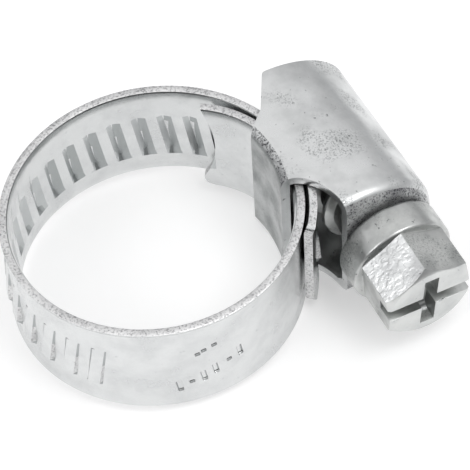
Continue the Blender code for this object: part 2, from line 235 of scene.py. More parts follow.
def tube(name: str, rings: Sequence[Sequence[Point]]) -> Piece:
    """Closed body through rings of equally many points.

    A cylinder is added, its sides are subdivided into as many bands as the rings need, and each of its points
    is moved to its place on its ring.
    """
    count, bands = len(rings[0]), len(rings) - 1
    deselect()
    bpy.ops.mesh.primitive_cylinder_add(vertices=count, radius=1.0, depth=1.0, end_fill_type="NGON")
    obj = named(name)
    if bands > 1:
        edit()
        pick(obj, Kind.EDGES, lambda middle, along: abs(along.z) > 0.99)
        bpy.ops.mesh.subdivide(number_cuts=bands - 1)
        leave_edit()
    for vertex in obj.data.vertices:
        turn = math.atan2(vertex.co.x, vertex.co.y) / (2 * math.pi)
        place = round(turn * count) % count
        vertex.co = rings[round((vertex.co.z + 0.5) * bands)][place]
    tidy_mesh(obj)
    return obj


def turned(name: str, profile: Sequence[Pair], axis: Vector, segments: int) -> Piece:
    """Body turned about a line along Y, from a profile of (y, radius) points.

    Of the axis, a point on the line, only x and z count.
    """
    turns = [2 * math.pi * i / segments for i in range(segments)]
    return tube(name, [[(axis.x + r * math.cos(a), y, axis.z + r * math.sin(a)) for a in turns]
                       for y, r in profile])


def arc(centre: Pair, radii: Pair, ends: Pair, steps: int) -> list[Pair]:
    """Points of an elliptical arc between two angles in degrees."""
    turns = np.radians(np.linspace(ends[0], ends[1], steps + 1))
    return [(centre[0] + radii[0] * math.cos(a), centre[1] + radii[1] * math.sin(a)) for a in turns]


# ---- Finishes


class Tree:
    """A node tree being filled, with short words for adding and joining nodes."""

    def __init__(self, tree: bpy.types.NodeTree) -> None:
        """Keep the tree."""
        self.tree = tree

    def add(self, kind: str, **values: object) -> bpy.types.Node:
        """Add a node.

        Args:
            kind: The node's type.
            values: Attributes, or inputs where the name starts with in_ (underscores stand for spaces).

        Returns:
            The node.
        """
        node = self.tree.nodes.new(kind)
        for key, value in values.items():
            if key.startswith("in_"):
                self.feed(node.inputs[key[3:].replace("_", " ")], value)
            else:
                setattr(node, key, value)
        return node

    def feed(self, socket: Socket, value: object) -> None:
        """Join an output to an input, or set the input's value."""
        if isinstance(value, Socket):
            self.tree.links.new(value, socket)
        else:
            socket.default_value = value

    def maths(self, operation: str, a: object, b: object = 0.0, clamp: bool = False) -> Socket:
        """One sum on two values, and its output."""
        node = self.add("ShaderNodeMath", operation=operation, use_clamp=clamp)
        self.feed(node.inputs[0], a)
        self.feed(node.inputs[1], b)
        return node.outputs[0]

    def plus(self, a: object, b: object, clamp: bool = False) -> Socket:
        """a + b."""
        return self.maths("ADD", a, b, clamp)

    def minus(self, a: object, b: object) -> Socket:
        """a - b."""
        return self.maths("SUBTRACT", a, b)

    def times(self, a: object, b: object) -> Socket:
        """a times b."""
        return self.maths("MULTIPLY", a, b)

    def noise(self, where: Socket, scale: float, detail: float, rough: float) -> Socket:
        """Fractal noise between 0 and 1 at a number of patches to the metre."""
        node = self.add("ShaderNodeTexNoise", in_Vector=where, in_Scale=scale, in_Detail=detail,
                        in_Roughness=rough)
        return node.outputs["Fac"]

    def ramp(self, value: Socket, low: float, high: float) -> Socket:
        """0 below one value and 1 above another, smoothly."""
        node = self.add("ShaderNodeMapRange", interpolation_type="SMOOTHSTEP")
        self.feed(node.inputs["Value"], value)
        node.inputs["From Min"].default_value = low
        node.inputs["From Max"].default_value = high
        return node.outputs["Result"]

    def blend(self, share: object, a: object, b: object) -> Socket:
        """Colour between two colours."""
        node = self.add("ShaderNodeMix", data_type="RGBA")
        self.feed(node.inputs[0], share)
        self.feed(node.inputs[6], a)
        self.feed(node.inputs[7], b)
        return node.outputs[2]


SHARES = ("Roughness", "Blotches", "Grain", "Pits", "Speckle", "Wear", "Lumps")


def plated_group() -> bpy.types.NodeTree:
    """Zinc plate on rolled steel, built once: soft blotches, fine grain, small pits, and scuffed patches."""
    found = bpy.data.node_groups.get("zinc plate")
    if found:
        return found
    group = bpy.data.node_groups.new("zinc plate", "ShaderNodeTree")
    face = group.interface
    face.new_socket("Light", in_out="INPUT", socket_type="NodeSocketColor")
    face.new_socket("Dark", in_out="INPUT", socket_type="NodeSocketColor")
    for name in SHARES:
        face.new_socket(name, in_out="INPUT", socket_type="NodeSocketFloat")
    face.new_socket("Color", in_out="OUTPUT", socket_type="NodeSocketColor")
    face.new_socket("Roughness", in_out="OUTPUT", socket_type="NodeSocketFloat")
    face.new_socket("Height", in_out="OUTPUT", socket_type="NodeSocketFloat")
    tree = Tree(group)
    given = tree.add("NodeGroupInput").outputs
    result = tree.add("NodeGroupOutput").inputs
    where = tree.add("ShaderNodeTexCoord").outputs["Object"]
    blotches = tree.ramp(tree.noise(where, 420.0, 4.0, 0.6), 0.35, 0.7)
    grain = tree.noise(where, 5200.0, 3.0, 0.65)
    pits = tree.ramp(tree.noise(where, 2600.0, 2.0, 0.5), 0.69, 0.76)
    speckle = tree.ramp(tree.noise(where, 6800.0, 4.0, 0.7), 0.47, 0.66)
    patch = tree.ramp(tree.noise(where, 260.0, 2.0, 0.5), 0.5, 0.62)
    lumps = tree.ramp(tree.noise(where, 2400.0, 2.0, 0.55), 0.4, 0.6)
    wave = tree.noise(where, 700.0, 2.0, 0.5)
    spots = tree.plus(given["Speckle"], tree.times(given["Wear"], patch), clamp=True)
    torn = tree.times(speckle, spots)
    dark = tree.plus(tree.times(blotches, given["Blotches"]), tree.times(pits, given["Pits"]))
    dark = tree.plus(dark, tree.times(torn, 0.9), clamp=True)
    tree.feed(result["Color"], tree.blend(dark, given["Light"], given["Dark"]))
    rough = tree.plus(given["Roughness"], tree.times(grain, tree.times(given["Grain"], 0.2)))
    rough = tree.plus(rough, tree.times(spots, 0.12))
    tree.feed(result["Roughness"], tree.plus(rough, tree.times(blotches, 0.05), clamp=True))
    height = tree.times(grain, tree.times(given["Grain"], 0.25))
    height = tree.minus(height, tree.times(pits, given["Pits"]))
    height = tree.minus(height, torn)
    height = tree.plus(height, tree.times(lumps, given["Lumps"]))
    tree.feed(result["Height"], tree.plus(height, tree.times(wave, 2.2)))
    return group


@dataclass(frozen=True)
class Zinc:
    """One finish of bright zinc-plated steel.

    Attributes:
        name: The material's name.
        light: Colour of clean plate.
        dark: Colour in pits and stains.
        roughness: Roughness of clean plate.
        blotches: Strength of the soft stains.
        grain: Strength of the fine grain.
        pits: Strength of the small pits.
        speckle: Strength of torn, speckled metal all over.
        wear: Strength of speckle in scuffed patches.
        lumps: Height of the lumps on torn metal.
        relief: Depth of the surface's relief, in metres.
    """

    name: str
    light: Point
    dark: Point = (0.42, 0.43, 0.44)
    roughness: float = 0.22
    blotches: float = 0.25
    grain: float = 0.3
    pits: float = 0.3
    speckle: float = 0.0
    wear: float = 0.0
    lumps: float = 0.0
    relief: float = 1.2e-5

    def material(self) -> bpy.types.Material:
        """The material, made once."""
        found = bpy.data.materials.get(self.name)
        if found:
            return found
        material = bpy.data.materials.new(self.name)
        material.use_nodes = True
        tree = Tree(material.node_tree)
        plate = tree.add("ShaderNodeGroup", node_tree=plated_group())
        plate.inputs["Light"].default_value = (*self.light, 1.0)
        plate.inputs["Dark"].default_value = (*self.dark, 1.0)
        for socket in SHARES:
            plate.inputs[socket].default_value = getattr(self, socket.lower())
        bump = tree.add("ShaderNodeBump", in_Height=plate.outputs["Height"], in_Distance=self.relief)
        shader = material.node_tree.nodes["Principled BSDF"]
        shader.inputs["Metallic"].default_value = 1.0
        tree.feed(shader.inputs["Base Color"], plate.outputs["Color"])
        tree.feed(shader.inputs["Roughness"], plate.outputs["Roughness"])
        tree.feed(shader.inputs["Normal"], bump.outputs["Normal"])
        return material


ROLLED_STRIP = Zinc("zinc on rolled strip", (0.70, 0.71, 0.71), roughness=0.20, blotches=0.3, grain=0.25,
                    pits=0.35)
# Darker copies of the strip's plate: painted shade for the grooves and the ribs' sides.
GROOVE_DARK_PAINTED_SHADE = Zinc("zinc painted dark as shade in a groove", (0.38, 0.40, 0.40), roughness=0.28, blotches=0.3)
GROOVE_HALF_PAINTED_SHADE = Zinc("zinc painted half dark as shade in a groove", (0.52, 0.54, 0.54), roughness=0.26, blotches=0.3)
SHEARED_EDGE = Zinc("zinc on a sheared edge", (0.78, 0.78, 0.78), (0.16, 0.16, 0.17), roughness=0.3,
                    blotches=0.2, speckle=0.7, relief=1.5e-5)
FOLDED_SHEET = Zinc("zinc on folded sheet", (0.72, 0.73, 0.73), (0.26, 0.27, 0.27), roughness=0.25,
                    blotches=0.3, pits=1.0, wear=0.85)
CRACKED_FOLD = Zinc("zinc cracked along a fold", (0.66, 0.67, 0.67), (0.08, 0.08, 0.09), roughness=0.3,
                    blotches=0.6, speckle=0.95, relief=5e-5)
# Rough, blotchy plate on the saddle's face, its colour darkened as painted shade.
ROUGH_SADDLE_IN_PAINTED_SHADE = Zinc("rough zinc on the saddle, darkened as painted shade", (0.50, 0.51, 0.51), (0.22, 0.23, 0.23), roughness=0.35,
                    blotches=0.7, pits=0.9, speckle=0.25)
FORMED_SCREW = Zinc("zinc on the formed screw", (0.60, 0.61, 0.60), (0.20, 0.21, 0.21), roughness=0.26,
                    blotches=0.5, pits=1.0, wear=0.7)
TORN_FLAT = Zinc("zinc on a torn hexagon flat", (0.66, 0.67, 0.67), (0.20, 0.20, 0.21), roughness=0.3,
                 blotches=0.4, pits=1.0, speckle=0.12, lumps=1.0)
SCREW_END = Zinc("zinc on the screw's end", (0.66, 0.67, 0.66), roughness=0.34, blotches=0.4, pits=1.0)


def dress(obj: Piece, finishes: Sequence[Zinc], choose: Callable[[Vector, Vector], int]) -> None:
    """Give each face of a piece its finish.

    Args:
        obj: The piece.
        finishes: The finishes in slot order.
        choose: Takes a face's middle and normal, and gives the slot.
    """
    obj.data.materials.clear()
    for finish in finishes:
        obj.data.materials.append(finish.material())
    for face in obj.data.polygons:
        face.material_index = choose(face.center, face.normal)


# ---- The strip


@dataclass
class StripPath:
    """Where the strip's middle runs, clockwise round the hose as seen from +Z.

    Attributes:
        radius: Mean radius of the ring.
        oval: How much further out it runs towards and away from the housing.
        lap: How far one lap lies outside the lap before it.
        tongue_angle: Where the strip starts, in radians clockwise from +X.
        tail_angle: Where the last hinge stands.
        drop: How far the tongue's tip is bent in, and from which angle.
        centre: The ring's centre, found from the frame.
    """

    radius: float = 0.0102
    oval: float = 0.0002
    lap: float = 0.00085
    tongue_angle: float = math.radians(-43)
    tail_angle: float = math.radians(337)
    drop: Pair = (0.00045, math.radians(-12))
    centre: Vector = field(init=False)

    def __post_init__(self) -> None:
        """Place the path by the frame's last hinge, and measure its length."""
        self.angles = np.linspace(self.tongue_angle, 3 * math.pi, 6000)
        radii = self.radius_at(self.angles)
        self.points = np.column_stack((radii * np.cos(self.angles), -radii * np.sin(self.angles)))
        steps = np.linalg.norm(np.diff(self.points, axis=0), axis=1)
        self.lengths = np.concatenate(([0.0], np.cumsum(steps)))
        hinge = Vector(next(j["pos_m"] for j in frame["joints"] if j["name"] == "tail_flex"))
        reach = float(self.radius_at(self.tail_angle))
        along = Vector((math.cos(self.tail_angle), -math.sin(self.tail_angle), 0.0))
        self.centre = hinge - reach * along

    def radius_at(self, angle: np.ndarray) -> np.ndarray:
        """Radius of the strip's middle at an angle."""
        radius = self.radius + self.oval * np.cos(2 * angle) + self.lap * (angle / (2 * math.pi) - 0.5)
        depth, start = self.drop
        return radius - depth * np.clip((start - angle) / (start - self.tongue_angle), 0, None) ** 2

    def length_at(self, angle: float) -> float:
        """Length along the strip at an angle."""
        return float(np.interp(angle, self.angles, self.lengths))

    def length_of(self, place: Sequence[float]) -> float:
        """Length along the strip of the hinge at a place, which always lies past the tongue."""
        past = self.angles > 0
        there = np.array(place[:2]) - np.array(self.centre[:2])
        gaps = np.linalg.norm(self.points[past] - there, axis=1)
        return float(self.lengths[past][int(np.argmin(gaps))])

    def roll(self, flat: np.ndarray) -> np.ndarray:
        """Places round the hose of points on the flat strip.

        It takes rows of (length along, height across, distance outwards).
        """
        angle = np.interp(flat[:, 0], self.lengths, self.angles)
        step = 1e-4
        ahead, behind = (self.radius_at(angle + s) * np.exp(-1j * (angle + s)) for s in (step, -step))
        outwards = (ahead - behind) / abs(ahead - behind) * 1j
        place = self.radius_at(angle) * np.exp(-1j * angle) + flat[:, 2] * outwards
        return np.column_stack((place.real, place.imag, flat[:, 1])) + np.array(self.centre)

    def point(self, length: float) -> Vector:
        """Place of the strip's middle at a length."""
        return Vector(self.roll(np.array([[length, 0.0, 0.0]]))[0])


@dataclass
class Strip:
    """The band: one strip of spring steel with pressed ribs, rolled edges and sheared ends.

    Attributes:
        path: Where it runs.
        width: Its width.
        thickness: Its thickness.
        pitch: Distance from rib to rib.
        rib_width: Width of a rib at its foot.
        rib_floor: Where the narrow floor of its groove is, as shares of its width.
        rib_height: Depth of the groove behind it.
        bar_height: How far it stands out.
        bar_slope: Width of its sides, as a share of its width.
        rib_low: Where its lower end is, from the strip's middle.
        rib_high: Where its upper end is.
        rib_lean: How far it leans along the strip for each metre across.
        hip_share: Length of the slope at its lower end, as a share of its own.
        edge_turn: Height of the rolled edge, and how far out it is turned.
        edge_round: Rounding of the sheared edges' corners.
        crease: Depth of the crease that the rolls leave above the lower edge.
        notch: Depth of the tongue's notch.
        corner: Rounding of the tongue's lower corner.
        tip_corner: Rounding of the loose end's corners.
        steps: Lines across the strip for each rib, which let it bend.
        ribs_about_hinge: Ribs before the last hinge, and after it.
        margin: How far from a link's ends two path points are taken; the points are not used.
    """

    path: StripPath
    width: float = 0.0090
    thickness: float = 0.0006
    pitch: float = 0.00192
    rib_width: float = 0.0011
    rib_floor: Pair = (0.40, 0.47)
    rib_height: float = 0.00036
    bar_height: float = 0.00034
    bar_slope: float = 0.12
    rib_low: float = -0.0026
    rib_high: float = 0.0018
    rib_lean: float = 0.135
    hip_share: float = 0.11
    edge_turn: Pair = (0.0006, 0.00019)
    edge_round: float = 0.00009
    crease: float = 0.00012
    notch: float = 0.0010
    corner: float = 0.0012
    tip_corner: float = 0.0005
    steps: int = 8
    ribs_about_hinge: tuple[int, int] = (19, 5)
    margin: float = 0.0002

    def __post_init__(self) -> None:
        """Read the chain of bodies and hinges from the frame."""
        chain = [j for j in frame["joints"] if "flex" in j["name"]]
        self.bodies = [chain[0]["parent"]] + [j["child"] for j in chain]
        self.hinges = [self.path.length_of(j["pos_m"]) for j in chain]
        self.link = (self.hinges[-1] - self.hinges[0]) / (len(self.hinges) - 1)
        before, after = self.ribs_about_hinge
        self.ribs_start = self.hinges[-1] - before * self.pitch
        self.ribs = before + after
        self.ribs_end = self.ribs_start + self.ribs * self.pitch
        self.tip = self.hinges[-1] + (after + 1) * self.pitch

    def rows(self, heights: Sequence[float] = ()) -> None:
        """Cut lines along the flat strip, at its rolled edges and at some heights, in edit mode."""
        turn = self.edge_turn[0]
        upper = [self.width / 2 - turn * share for share in (1.15, 1.0, 0.85, 0.5, 0.25)]
        for height in (*upper, *(-edge for edge in upper), *heights):
            slice_all((0, height, 0), (0, 1, 0))

    def along(self, start: float, end: float, count: int) -> None:
        """Cut evenly spaced lines across the flat strip, in edit mode."""
        for i in range(1, count):
            slice_all((start + (end - start) * i / count, 0, 0), (1, 0, 0))

    def sheet(self, name: str, start: float, end: float) -> Piece:
        """Flat sheet from one length to another, in edit mode."""
        deselect()
        bpy.ops.mesh.primitive_plane_add(size=1.0, location=((start + end) / 2, 0, 0))
        obj = named(name)
        obj.scale = (end - start, self.width, 1.0)
        settle()
        edit()
        return obj

    def rib_cell(self) -> Piece:
        """One pitch of the flat sheet, with the lines that its rib is pressed along."""
        obj = self.sheet("rib_cell", 0.0, self.pitch)
        height = self.rib_high - self.rib_low
        self.rows([self.rib_low + height * share for share in (0.0, self.hip_share, 0.3, 0.6, 0.85, 1.0)])
        foot = (self.pitch - self.rib_width) / 2
        for share in (0.0, self.bar_slope, *self.rib_floor, 0.7, 1 - self.bar_slope, 1.0):
            pick(obj, Kind.FACES, lambda middle, normal: self.rib_low < middle.y < self.rib_high)
            place = (foot + self.rib_width * share, 0, 0)
            bpy.ops.mesh.bisect(plane_co=place, plane_no=(1.0, self.rib_lean, 0.0))
        self.along(0.0, self.pitch, self.steps)
        leave_edit()
        return obj

    def press(self, place: Vector) -> float:
        """How far the die moves a point outwards.

        Outside, a rib is a flat-topped bar. Inside, it leaves a lopsided V, steep on the side of the tongue.
        Both are deepest near the lower end and nearly flush at the upper one.
        """
        if not self.ribs_start < place.x < self.ribs_end:
            return 0.0
        foot = (self.pitch - self.rib_width) / 2
        u = ((place.x - self.ribs_start) % self.pitch + self.rib_lean * place.y - foot) / self.rib_width
        v = (place.y - self.rib_low) / (self.rib_high - self.rib_low)
        if not (TINY < u < 1 - TINY and 0 < v < 1):
            return 0.0
        hip = self.hip_share
        fade = v / hip if v < hip else 1 - 0.6 * ((v - hip) / (1 - hip)) ** 2
        if place.z > 0:
            bar = min(1.0, u / self.bar_slope, (1 - u) / self.bar_slope)
            return self.bar_height * bar * (fade if v < hip else 1 - 0.9 * ((v - hip) / (1 - hip)) ** 1.2)
        near, far = self.rib_floor
        groove = min(1.0, u / near, (1 - u) / (1 - far))
        return self.rib_height * groove * fade

    def ribbed(self) -> Piece:
        """The ribbed stretch of the flat sheet, as one row of cells."""
        obj = self.rib_cell()
        modify(obj, "ARRAY", count=self.ribs, use_relative_offset=False, use_constant_offset=True,
               constant_offset_displace=(self.pitch, 0.0, 0.0), use_merge_vertices=True, merge_threshold=NEAR)
        obj.location.x = self.ribs_start
        settle()
        return obj

    def tongue(self) -> Piece:
        """The plain stretch, with the notch and the rounded corner at its start."""
        obj = self.sheet("plain_sheet", 0.0, self.ribs_start)
        pick(obj, Kind.POINTS, lambda place, normal: place.x < TINY and place.y < 0)
        bpy.ops.mesh.bevel(offset=self.corner, affect="VERTICES", segments=8)
        self.rows([self.width * share for share in (-0.25, -0.15, -0.05, 0.05, 0.15, 0.25, 0.33)])
        pick(obj, Kind.POINTS, lambda place, normal: place.x < TINY and place.y < self.width / 2 - TINY)
        shape = bmesh.from_edit_mesh(obj.data)
        low, high = -self.width / 2 + self.corner, self.width / 2
        for vertex in (v for v in shape.verts if v.select):
            share = (vertex.co.y - low) / (high - low)
            vertex.co.x += self.notch * math.sin(math.pi * min(max(share, 0.0), 1.0)) ** 0.8
        bmesh.update_edit_mesh(obj.data)
        self.along(0.0, self.ribs_start, round(self.ribs_start / (self.pitch / self.steps)))
        leave_edit()
        return obj

    def loose_end(self) -> Piece:
        """The last, plain bit of the sheet, past the last rib."""
        obj = self.sheet("loose_sheet", self.ribs_end, self.tip)
        pick(obj, Kind.POINTS, lambda place, normal: place.x > self.tip - TINY)
        bpy.ops.mesh.bevel(offset=self.tip_corner, affect="VERTICES", segments=4)
        self.rows()
        self.along(self.ribs_end, self.tip, 6)
        leave_edit()
        return obj

    def flat(self) -> Piece:
        """The whole strip, flat, with its thickness and its rolled and rounded edges."""
        sheets = [self.tongue(), self.ribbed(), self.loose_end()]
        deselect()
        for sheet in sheets:
            sheet.select_set(True)
        bpy.context.view_layer.objects.active = sheets[0]
        bpy.ops.object.join()
        obj = named("strip_flat")
        edit()
        bpy.ops.mesh.remove_doubles(threshold=2 * NEAR)
        shape = bmesh.from_edit_mesh(obj.data)
        turn, out = self.edge_turn
        for vertex in shape.verts:
            share = max(0.0, (abs(vertex.co.y) - self.width / 2 + turn) / turn)
            vertex.co.z += out * share ** 1.25 + self.thickness / 2
        bmesh.update_edit_mesh(obj.data)
        bpy.ops.mesh.select_all(action="SELECT")
        bpy.ops.mesh.extrude_region_move(TRANSFORM_OT_translate={"value": (0, 0, -self.thickness)})
        half = self.width / 2 - NEAR
        pick(obj, Kind.EDGES, lambda middle, way: abs(middle.y) > half and abs(way.x) > 0.9)
        bpy.ops.mesh.bevel(offset=self.edge_round, segments=2, affect="EDGES")
        leave_edit()
        for vertex in obj.data.vertices:
            vertex.co.z += self.press(vertex.co)
            if abs(vertex.co.y + self.width / 2 - turn) < NEAR and vertex.co.z > 0:
                vertex.co.z -= self.crease
        tidy_mesh(obj)
        self.stamp(obj)
        return obj

    def stamp(self, obj: Piece) -> None:
        """Sink a few plain bars and dots into the outside, as a press leaves them."""
        dot, bar, across, depth = 0.0004, 0.0013, 0.0004, 0.00034
        marks = ((109, -2.5, bar), (104, -2.2, dot), (99, -1.9, bar), (94, -1.5, bar), (88, -1.1, dot),
                 (83, -0.7, bar), (101, 1.0, dot), (98.4, 1.25, dot), (94, 1.5, dot))
        lean = math.radians(-8)
        for degrees, height, length in marks:
            deselect()
            place = (self.path.length_at(math.radians(degrees)), height / 1000, self.thickness / 2)
            bpy.ops.mesh.primitive_cube_add(size=1.0, location=place, rotation=(0, 0, lean))
            cutter = named("stamp")
            cutter.scale = (across, length, depth)
            settle()
            bevel(cutter, 0.00008, 2, 60)
            work(obj, cutter, Cut.AWAY)

    def build(self) -> list[Piece]:
        """Cut the flat strip at the middle of each link, and roll each length round the hose."""
        flat = self.flat()
        cuts = [hinge + self.link / 2 for hinge in self.hinges[:-1]]
        starts, ends = [None, *cuts], [*cuts, None]
        last = len(self.hinges) - 1
        pieces = []
        for i, (start, end) in enumerate(zip(starts, ends)):
            name = {0: "strip_tongue", last: "strip_loose_end"}.get(i, f"strip_stretch_{i}")
            piece = flat.copy()
            piece.data = flat.data.copy()
            piece.name = piece.data.name = name
            bpy.context.scene.collection.objects.link(piece)
            take(piece)
            edit()
            for place, inner in ((start, True), (end, False)):
                if place is not None:
                    slice_all((place, 0, 0), (1, 0, 0), use_fill=True, clear_inner=inner,
                              clear_outer=not inner)
            leave_edit()
            places = np.empty(len(piece.data.vertices) * 3)
            piece.data.vertices.foreach_get("co", places)
            piece.data.vertices.foreach_set("co", self.path.roll(places.reshape(-1, 3)).ravel())
            piece.data.update()
            tidy_mesh(piece)
            self.finish(piece)
            self.path.point(self.hinges[i] - self.link / 2 + self.margin)
            self.path.point(self.hinges[i] + self.link / 2 - self.margin)
            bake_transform(piece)
            pieces.append(piece)
        bpy.data.objects.remove(flat, do_unlink=True)
        for i, piece in enumerate(pieces):
            nodes = frame["record"]["behaviour"]["bodies"][self.bodies[i + 1]]
            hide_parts(*nodes)
        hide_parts("band_fixed_end")
        return pieces

    def finish(self, piece: Piece) -> None:
        """Torn plate on the sheared faces, darker plate as painted shade in the grooves and on the ribs'
        outer sides, bright plate elsewhere.
        """
        centre, half = self.path.centre, self.width / 2 - self.edge_round * 0.9

        def choose(middle: Vector, normal: Vector) -> int:
            """Slot of the face's finish."""
            there = middle - centre
            outwards = Vector((there.x, there.y, 0.0)).normalized()
            onwards = normal.dot(Vector((outwards.y, -outwards.x, 0.0)))
            if (abs(there.z) > half and abs(normal.z) > 0.8) or abs(onwards) > 0.85:
                return 1
            # Faces in the grooves get darker plate as painted shade.
            in_groove = normal.dot(outwards) < -0.3 and self.rib_low < there.z < self.rib_high
            if in_groove and normal.z > 0.25:
                return 2
            if in_groove and abs(onwards) > 0.2:
                # Steep groove sides on the ring's far right get the darkest painted shade, the others a
                # lighter painted shade.
                return 2 if onwards < 0 and outwards.x > -0.45 and outwards.y > 0 else 3
            # The ribs' sides on the outside get the dark painted shade as well.
            return 2 if normal.dot(outwards) > 0.3 and abs(onwards) > 0.35 else 0

        dress(piece, (ROLLED_STRIP, SHEARED_EDGE, GROOVE_DARK_PAINTED_SHADE, GROOVE_HALF_PAINTED_SHADE), choose)
        shade(piece, 25)


# ---- The screw


@dataclass
class Screw:
    """The worm screw, formed in one piece.

    Attributes:
        flats: Width across the hexagon's flats.
        head_turn: Turn of its first corner from +X towards +Z, in radians.
        head_length: Length of the hexagon.
        collar: Radius and length of the collar.
        neck: Radius of the neck.
        thread: Radius, depth, crest width and foot width of the thread.
        turn_radius: Where the thread meets the ribs, from the ring's centre.
        strip_radius: Where the strip's middle runs beneath it.
        rib_pitch: Distance from rib to rib on the strip.
        slot: Width, depth and turn of the slot.
        cross: Length of the shorter slot across it.
        end_radius: Radius of the flat at the head's end.
        chamfer: Length of the head's chamfer.
        slot_reach: Length of the long slot's cutter, which passes both sides of the head.
        front_round: Rounding of the collar on the head's side.
        back_round: Rounding of the collar on the housing's side.
    """

    flats: float = 0.00635
    head_turn: float = math.radians(34)
    head_length: float = 0.0037
    collar: Pair = (0.00385, 0.0024)
    neck: float = 0.0022
    thread: tuple[float, float, float, float] = (0.00315, 0.0007, 0.00035, 0.00105)
    turn_radius: float = 0.01112
    strip_radius: float = 0.010825
    rib_pitch: float = 0.00192
    slot: Point = (0.0011, 0.0013, math.radians(-4))
    cross: float = 0.0048
    end_radius: float = 0.0031
    chamfer: float = 0.0006
    slot_reach: float = 0.012
    front_round: float = 0.0002
    back_round: float = 0.0003

    def __post_init__(self) -> None:
        """Find the screw's axis, its ends and where the housing's front stands."""
        low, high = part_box("worm_screw")
        housing_low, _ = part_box("housing")
        self.axis = Vector(next(j["pos_m"] for j in frame["joints"] if j["name"] == "screw_turn"))
        self.front, self.back = low.y, high.y
        self.collar_front = self.front + self.head_length
        self.collar_back = self.collar_front + self.collar[1]
        self.corner_radius = self.flats / 2 / math.cos(math.pi / 6)
        self.sheet_front = housing_low.y

    def profile(self) -> list[Pair]:
        """(y, radius) points from the hexagon's root to the tip."""
        core = self.thread[0] - self.thread[1]
        front, back, radius = self.front_round, self.back_round, self.collar[0]
        rounded_front = arc((self.collar_front + front, radius - front), (-front, front), (0, 90), 3)
        rounded_back = arc((self.collar_back - back, radius - back), (back, back), (90, 0), 4)
        thread_front = self.sheet_front + 0.0009
        return [
            (self.front + 0.0008, self.neck),
            (self.collar_front - 0.0003, self.neck),
            (self.collar_front - 0.0001, 0.0029),
            (self.collar_front, 0.0034),
            *rounded_front,
            *rounded_back,
            (self.collar_back, self.neck + 0.0001),
            (thread_front - 0.0001, self.neck),
            (thread_front + 0.0001, core),
            (self.back - 0.0007, core),
            (self.back - 0.0003, core - 0.0003),
            (self.back, core - 0.0008),
        ]

    def thread_ridge(self, phase_y: float) -> Piece:
        """Right-handed ridge, sunk into the core, which fades out at both ends.

        Args:
            phase_y: Where the ridge faces the strip, between two ribs.
        """
        radius, depth, crest, foot = self.thread
        pitch = self.rib_pitch * self.turn_radius / self.strip_radius
        front, back = self.sheet_front + 0.0013, self.back - 0.0012
        steps = 48
        count = math.ceil(steps * (back - front) / pitch)
        core = radius - depth
        rings = []
        for i in range(count + 1):
            y = front + pitch * i / steps
            turn = -math.pi / 2 + 2 * math.pi * (y - phase_y) / pitch
            fade = min(1.0, 2 * i / steps, 2 * (count - i) / steps)
            top = core + depth * max(fade, 0.05)
            side = ((core - 0.0002, foot / 2), (top - 0.00008, crest / 2 + 0.00004),
                    (top, crest / 2 - 0.00006))
            section = (*((r, -dy) for r, dy in side), *reversed(side))
            rings.append([(self.axis.x + r * math.sin(turn), y + dy, self.axis.z + r * math.cos(turn))
                          for r, dy in section])
        return tube("thread", rings)

    def hexagon(self) -> Piece:
        """Hexagon with a turned chamfer at its end and a shallow undercut before the collar."""
        deselect()
        length = self.head_length + 0.0001
        middle = (self.axis.x, self.front + length / 2, self.axis.z)
        bpy.ops.mesh.primitive_cylinder_add(vertices=6, radius=self.corner_radius, depth=length,
                                            location=middle, rotation=(math.pi / 2, 0, 0))
        head = named("hexagon")
        settle()
        first = head.data.vertices[0].co - self.axis
        lead = math.atan2(first.z, first.x)
        turn = Matrix.Translation(self.axis) @ Matrix.Rotation(lead - self.head_turn, 4, "Y")
        head.data.transform(turn @ Matrix.Translation(-self.axis))
        flare = self.corner_radius + 0.0002
        cone = turned("chamfer", [
            (self.front - 0.001, self.end_radius - 0.001), (self.front, self.end_radius),
            (self.front + self.chamfer * 0.5, self.end_radius + (flare - self.end_radius) * 0.62),
            (self.front + self.chamfer, flare), (self.collar_front - 0.0004, self.corner_radius + 0.001),
            (self.collar_front - 0.0002, self.corner_radius + 0.001),
            (self.collar_front + 0.0001, self.corner_radius - 0.00035),
        ], self.axis, 96)
        work(head, cone, Cut.KEEP)
        return head

    def slot_cutter(self, length: float, turn: float) -> Piece:
        """Cutter of one slot across the head's end, turned from +X towards +Z and rounded at its floor."""
        width, depth, _ = self.slot
        deselect()
        bpy.ops.mesh.primitive_cube_add(size=1.0, location=(0, self.front + (depth - PAST) / 2, 0))
        cutter = named("slot_cutter")
        cutter.scale = (length, depth + PAST, width)
        settle()
        edit()
        deep = self.front + depth - TINY
        pick(cutter, Kind.EDGES, lambda middle, way: middle.y > deep and abs(way.z) > 0.9)
        bpy.ops.mesh.bevel(offset=0.0006, segments=4, affect="EDGES")
        leave_edit()
        place = Matrix.Translation((self.axis.x, 0, self.axis.z)) @ Matrix.Rotation(-turn, 4, "Y")
        cutter.data.transform(place)
        return cutter

    def build(self, phase_y: float) -> Piece:
        """Turn, form, cut and finish the screw, with its thread between two ribs at phase_y."""
        screw = turned("screw", self.profile(), self.axis, 96)
        work(screw, self.hexagon(), Cut.JOIN)
        turn = self.slot[2]
        work(screw, self.slot_cutter(self.slot_reach, turn), Cut.AWAY)
        work(screw, self.slot_cutter(self.cross, turn + math.pi / 2), Cut.AWAY)
        tidy_mesh(screw)
        bevel(screw, 0.00007, 2, 32)
        tidy_mesh(screw)
        work(screw, self.thread_ridge(phase_y), Cut.JOIN)
        torn = self.head_turn + math.radians(90)
        torn_flat = Vector((math.cos(torn), 0, math.sin(torn)))
        end = self.front + 0.0002

        def choose(middle: Vector, normal: Vector) -> int:
            """Slot of the face's finish."""
            if normal.dot(torn_flat) > 0.97 and middle.y < self.collar_front:
                return 1
            return 2 if middle.y < end and normal.y < -0.7 else 0

        dress(screw, (FORMED_SCREW, TORN_FLAT, SCREW_END), choose)
        shade(screw, 30)
        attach(screw, "screw")
        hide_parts("worm_screw")
        return screw


# ---- The housing


